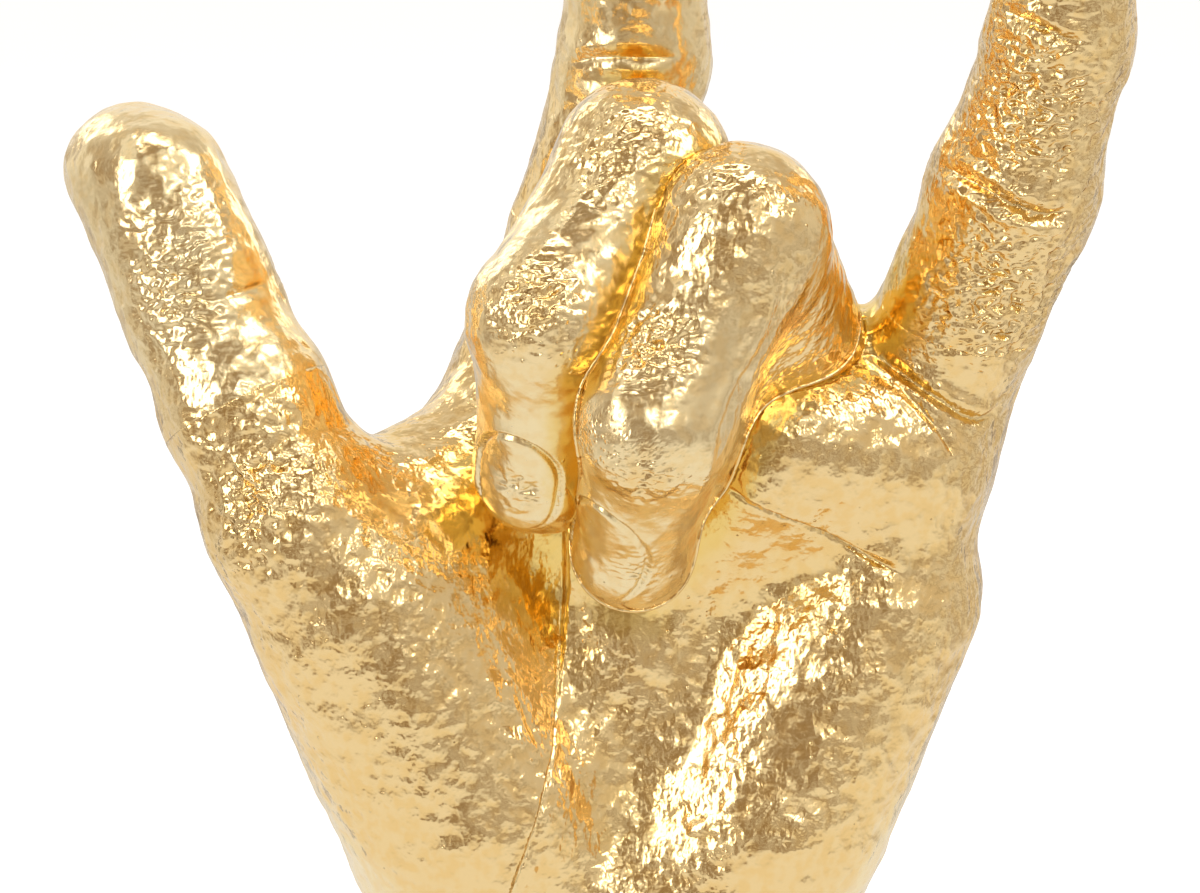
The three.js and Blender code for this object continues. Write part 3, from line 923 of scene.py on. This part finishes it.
# %% Finish helpers
class Term:
    def __init__(self, finish, socket):
        self.finish, self.socket = finish, socket

    def maths(self, operation, *values):
        return self.finish.node("Math", dict(enumerate(values)), operation=operation)

    def __add__(self, other):
        return self.maths("ADD", self, other)

    def __sub__(self, other):
        return self.maths("SUBTRACT", self, other)

    def __rsub__(self, other):
        return self.maths("SUBTRACT", other, self)

    def __mul__(self, other):
        return self.maths("MULTIPLY", self, other)

    def __abs__(self):
        return self.maths("ABSOLUTE", self)

    def over(self, limit):
        """1 where the term is greater than the limit."""
        return self.maths("GREATER_THAN", self, limit)


class Finish:
    """A material being made. node() adds a shader node by the end of its type's name, with settings and
    with values or Terms at its inputs, and returns one of its outputs as a Term."""
    def __init__(self, name, tree=None):
        if tree is None:
            self.material = bpy.data.materials.new(name)
            self.material.use_nodes = True
            tree = self.material.node_tree
        self.tree = tree
        self.tree.nodes.clear()

    def node(self, kind, values=None, output=0, **settings):
        node = self.tree.nodes.new("ShaderNode" + kind)
        for key, value in settings.items():
            setattr(node, key, value)
        for key, value in (values or {}).items():
            if isinstance(value, Term):
                self.tree.links.new(value.socket, node.inputs[key])
            else:
                node.inputs[key].default_value = value
        return Term(self, node.outputs[output])

    def between(self, value, low, high):
        """0 where the value is low, 1 where it is high, and a soft run in between."""
        values = {"Value": value, "From Min": low, "From Max": high}
        return self.node("MapRange", values, interpolation_type="SMOOTHSTEP")

    def blend(self, share, first, second):
        """The first colour where the share is 0 and the second where it is 1."""
        first, second = [(*c, 1) if isinstance(c, tuple) else c for c in (first, second)]
        return self.node("Mix", {"Factor": share, 6: first, 7: second}, 2, data_type="RGBA")

    def surface(self, values):
        self.node_out(self.node("BsdfPrincipled", values))
        return self.material

    def node_out(self, shader, kind="OutputMaterial"):
        out = self.tree.nodes.new("ShaderNode" + kind)
        self.tree.links.new(shader.socket, out.inputs["Surface"])


# %% [markdown]
# ## Leaf metal
# Gold-coloured leaf on a rough skin: folds and grains of one to two millimetres, which run rather along
# the hand than across it, on swells of five, and here and there a nib or a pinhole. How rough it lies
# changes in patches. It is paler on the crests and where it lies smooth, partly rubbed and partly painted
# sheen for whiter glints. Deeper gold in the hollows and dark brown in the pinholes are painted shade.

# %% Leaf metal
leaf = Finish("leaf_metal")
where = leaf.node("TexCoord", output="Object")
millimetres = leaf.node("VectorMath", {0: where, "Scale": 1000}, operation="SCALE")
smooth = leaf.node("Attribute", output="Fac", attribute_name="smoothness")
hollow_share = leaf.node("Attribute", output="Fac", attribute_name="hollowness")
ALONG_HAND = (1.25, 1.0, 0.7)
lengthwise = leaf.node("VectorMath", {0: millimetres, 1: ALONG_HAND}, operation="MULTIPLY")


def grain(scale, detail, at=millimetres, roughness=0.55):
    return leaf.node("TexNoise", {"Vector": at, "Scale": scale, "Detail": detail, "Roughness": roughness})


def speckle(scale, radius, shift, rarity):
    """Round spots of the given radius in mm, 1 at the middle, in the cells past a share of rarity."""
    moved = leaf.node("VectorMath", {0: millimetres, 1: (shift,) * 3}, operation="ADD")
    cells = leaf.node("TexVoronoi", {"Vector": moved, "Scale": scale}, "Distance")
    tint = leaf.node("TexVoronoi", {"Vector": moved, "Scale": scale}, "Color")
    chosen = leaf.node("SeparateColor", {"Color": tint}, "Red").over(rarity)
    return leaf.between(cells, radius * scale, radius * scale * 0.35) * chosen


patches = leaf.between(grain(0.14, 2), 0.32, 0.62)
rough = (1 - smooth * 0.85) * (1 - hollow_share * 0.5) * (patches * 0.53 + 0.35)
folds = abs(grain(0.55, 1, lengthwise) * 2 - 1)
cell_values = {"Vector": lengthwise, "Scale": 0.7, "Smoothness": 0.4, "Detail": 0.3}
cells = leaf.node("TexVoronoi", cell_values, "Distance", feature="SMOOTH_F1")
crumpled = grain(0.5, 2, roughness=0.45) * 0.62 - folds * 0.12 + cells * 0.08
nibs = speckle(0.42, 0.3, 3.1, 0.74)
pinholes = speckle(0.5, 0.16, 8.7, 0.88)
swells = grain(0.2, 1) * 0.7
height = rough * crumpled + swells * (1 - smooth * 0.5) + nibs * 0.08 - pinholes * 0.12
bumped = leaf.node("Bump", {"Height": height, "Distance": MM, "Strength": 1.0})
# Crests of the crumple, which are made paler: partly rubbed wear, partly a painted highlight for whiter
# glints
rub_and_glint_crest = leaf.between(crumpled, 0.24, 0.4)
# The pale gold is partly rubbed wear and partly painted sheen
GOLD, RUBBED_AND_SHEEN_GOLD = (0.90, 0.62, 0.26), (0.94, 0.78, 0.47)
# The deep gold is painted shade for the hollows, and the dark brown is painted shade for the pinholes
PAINTED_HOLLOW_SHADE_GOLD, PAINTED_PINHOLE_SHADE = (0.88, 0.61, 0.17), (0.30, 0.17, 0.06)
# Paler on crests and smooth places: partly rubbed wear, partly painted sheen
colour = leaf.blend(rub_and_glint_crest * 0.3 + smooth * 0.6, GOLD, RUBBED_AND_SHEEN_GOLD)
# Painted shade: a deeper, more orange gold in the hollows, standing in for light caught between the folds
colour = leaf.blend(hollow_share * 0.8, colour, PAINTED_HOLLOW_SHADE_GOLD)
# Painted shade: the pinholes are coloured dark brown
colour = leaf.blend(pinholes * 0.6, colour, PAINTED_PINHOLE_SHADE)
dullness = grain(1.4, 2) * 0.12 + smooth * 0.08 + 0.12
gilding = leaf.surface({"Base Color": colour, "Metallic": 1.0, "Roughness": dullness, "Normal": bumped})
for piece in (*castings.values(), *threads):
    piece.data.materials.clear()
    piece.data.materials.append(gilding)
print("gilded:", len(castings) + len(threads), "pieces,", len(leaf.tree.nodes), "nodes in the finish")

# %% [markdown]
# ## Inner pieces
# Dowels, weight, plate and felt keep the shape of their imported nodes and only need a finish. One helper
# makes all four: a grain that tints the colour a little and stands out a little.

# %% Inner pieces
def plain(name, colour, metallic, roughness, scale, depth):
    finish = Finish(name)
    at = finish.node("TexCoord", output="Object")
    grain = finish.node("TexNoise", {"Vector": at, "Scale": scale, "Detail": 6})
    tint = finish.blend(grain, tuple(0.6 * c for c in colour), colour)
    bump = finish.node("Bump", {"Height": grain, "Distance": depth, "Strength": 1.0})
    return finish.surface({"Base Color": tint, "Metallic": metallic, "Roughness": roughness, "Normal": bump})


# Colour, metallic, roughness, the scale of the grain, and its depth in metres
steel = plain("dowel_steel", (0.62, 0.63, 0.65), 1.0, 0.35, 900, 0.00005)
iron = plain("cast_iron", (0.16, 0.15, 0.15), 1.0, 0.62, 400, 0.0004)
board = plain("pressed_board", (0.23, 0.15, 0.09), 0.0, 0.8, 500, 0.0002)
felt = plain("felt", (0.06, 0.055, 0.05), 0.0, 0.95, 2500, 0.0004)
for name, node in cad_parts.items():
    if name in castings:
        continue  # a casting has its own skin
    finish = {"wrist_weight": iron, "closing_plate": board, "felt_pad": felt}.get(name, steel)
    node.data.materials.clear()
    node.data.materials.append(finish)
    print(name, "has the finish", finish.name)

# %% [markdown]
# ## Studio
# Metal shows what stands round it. So the room that it mirrors is brown with soft white cards in it,
# drawn by a noise, and turns white behind the object. The floor is mirrored as a table with the same
# cards, bright near the object. Softboxes in front of it and behind it make the glints. The camera sees
# none of this: for its rays the background is plain white and the floor white paper with a shadow.

# %% Studio
WALL_COLOUR = (0.33, 0.25, 0.17)
CARD_COLOUR = (0.93, 0.93, 0.93)


def light_path(finish, kind):
    return finish.node("LightPath", output=f"Is {kind} Ray")


world = bpy.data.worlds.new("studio")
bpy.context.scene.world = world
world.use_nodes = True
room = Finish("room", world.node_tree)
direction = room.node("TexCoord", output="Generated")
axes = [room.node("SeparateXYZ", {0: direction}, axis) for axis in "XYZ"]
soft = room.node("TexNoise", {"Vector": direction, "Scale": 1.5, "Detail": 1.5})
cards = room.between(soft, 0.41, 0.55) - room.between(axes[0], 0.1, 0.8) * 0.4
behind = room.between(axes[1], -0.3, 0.6) * (room.between(axes[2], -0.05, 0.45) * 0.7 + 0.3)
mirrored = (light_path(room, "Glossy") + light_path(room, "Transmission")) * behind
mirrored = mirrored * (cards * 0.35 + 0.65)
white = (1, 1, 1, 1)
walls = room.blend(cards, WALL_COLOUR, CARD_COLOUR)
lit_room = room.node("Background", {"Color": walls})
backdrop = room.node("Background", {"Color": white})
share = light_path(room, "Camera") + mirrored
all_round = room.node("MixShader", {0: share, 1: lit_room, 2: backdrop})
room.node_out(all_round, "OutputWorld")


def softbox(name, place_at, aim, size, power):
    lamp = bpy.data.lights.new(name, "AREA")
    lamp.shape = "RECTANGLE"
    lamp.size, lamp.size_y = size
    lamp.energy = power
    holder = add_object(name, lamp)
    holder.visible_camera = False
    holder.location = place_at
    holder.rotation_mode = "QUATERNION"
    holder.rotation_quaternion = (Vector(aim) - Vector(place_at)).to_track_quat("-Z", "Y")


middle_of_hand = (0, 0, 0.13)
# Where each stands, its width and height in metres, and its power in watts
SOFTBOXES = {
    "left_box": ((-1.0, -0.75, 0.45), (0.45, 1.0), 5.4),
    "right_box": ((0.85, -0.5, 1.0), (0.4, 0.6), 3.2),
    "top_box": ((0, -0.15, 1.3), (0.8, 0.25), 2.8),
    "front_box": ((0.3, -1.1, 0.7), (0.3, 0.25), 1.0),
    "back_left_box": ((-0.8, 0.9, 0.8), (0.3, 0.6), 1.0),
    "back_right_box": ((0.9, 0.8, 0.6), (0.25, 0.6), 0.9),
}
for name, (spot, size, power) in SOFTBOXES.items():
    softbox(name, spot, middle_of_hand, size, power)
print("softboxes:", ", ".join(SOFTBOXES))

# %% [markdown]
# ## Floor
# A sheet of white paper. It glows a little for the camera, so that it is as white as the background and
# still takes the object's shadow.

# %% Floor
FLOOR_SIZE = 6
ground = bmesh.new()
bmesh.ops.create_grid(ground, x_segments=1, y_segments=1, size=FLOOR_SIZE)
floor = object_from("floor", ground)
paper = Finish("floor_paper")
spot = paper.node("TexCoord", output="Object")
soft = paper.node("TexNoise", {"Vector": spot, "Scale": 3.0, "Detail": 1.5})
cards = paper.between(soft, 0.4, 0.58)
far = paper.between(paper.node("SeparateXYZ", {0: spot}, "Y"), -0.4, 0.9)
card = paper.node("BsdfDiffuse", {"Color": (0.86, 0.86, 0.86, 1)})
glow = paper.node("Emission", {"Color": white, "Strength": 0.58})
lit = paper.node("AddShader", {0: card, 1: glow})
away = paper.node("VectorMath", {0: spot}, "Value", operation="LENGTH")
near_table = paper.blend(cards, WALL_COLOUR, (0.75, 0.75, 0.75))
near_table = paper.blend(paper.between(away, 0.4, 0.15), near_table, (0.95, 0.95, 0.95))
table = paper.blend(far * (cards * 0.3 + 0.7), near_table, (0.87, 0.87, 0.87))
image = paper.node("Emission", {"Color": table, "Strength": 1})
mirrored = light_path(paper, "Glossy") + light_path(paper, "Transmission")
seen = paper.node("MixShader", {0: light_path(paper, "Camera"), 1: card, 2: lit})
paper.node_out(paper.node("MixShader", {0: mirrored, 1: seen, 2: image}))
floor.data.materials.append(paper.material)
print("floor:", FLOOR_SIZE * 2, "m wide")

# %% [markdown]
# ## Camera
# The photograph was taken from half a metre, a little above the palm, with a short telephoto lens. Its
# upper edge cuts off the two raised fingers, and its lower edge the wrist.

# %% Camera
TILT = math.radians(12)
DISTANCE = 0.5
SENSOR_WIDTH = 36
PICTURE_WIDTH = 1200
FOCAL_LENGTH_IN_PIXELS = 3650
target = Vector((-0.0034, -0.005, 0.138))
lens = bpy.data.cameras.new("camera")
lens.sensor_width = SENSOR_WIDTH
lens.lens = FOCAL_LENGTH_IN_PIXELS * SENSOR_WIDTH / PICTURE_WIDTH
lens.clip_start = 0.01
camera = add_object("camera", lens)
camera.location = target + DISTANCE * Vector((0, -math.cos(TILT), math.sin(TILT)))
camera.rotation_euler = (math.pi / 2 - TILT, 0, 0)
bpy.context.scene.camera = camera
bpy.context.scene.view_settings.view_transform = "Standard"
print("lens:", lens.lens, "mm")
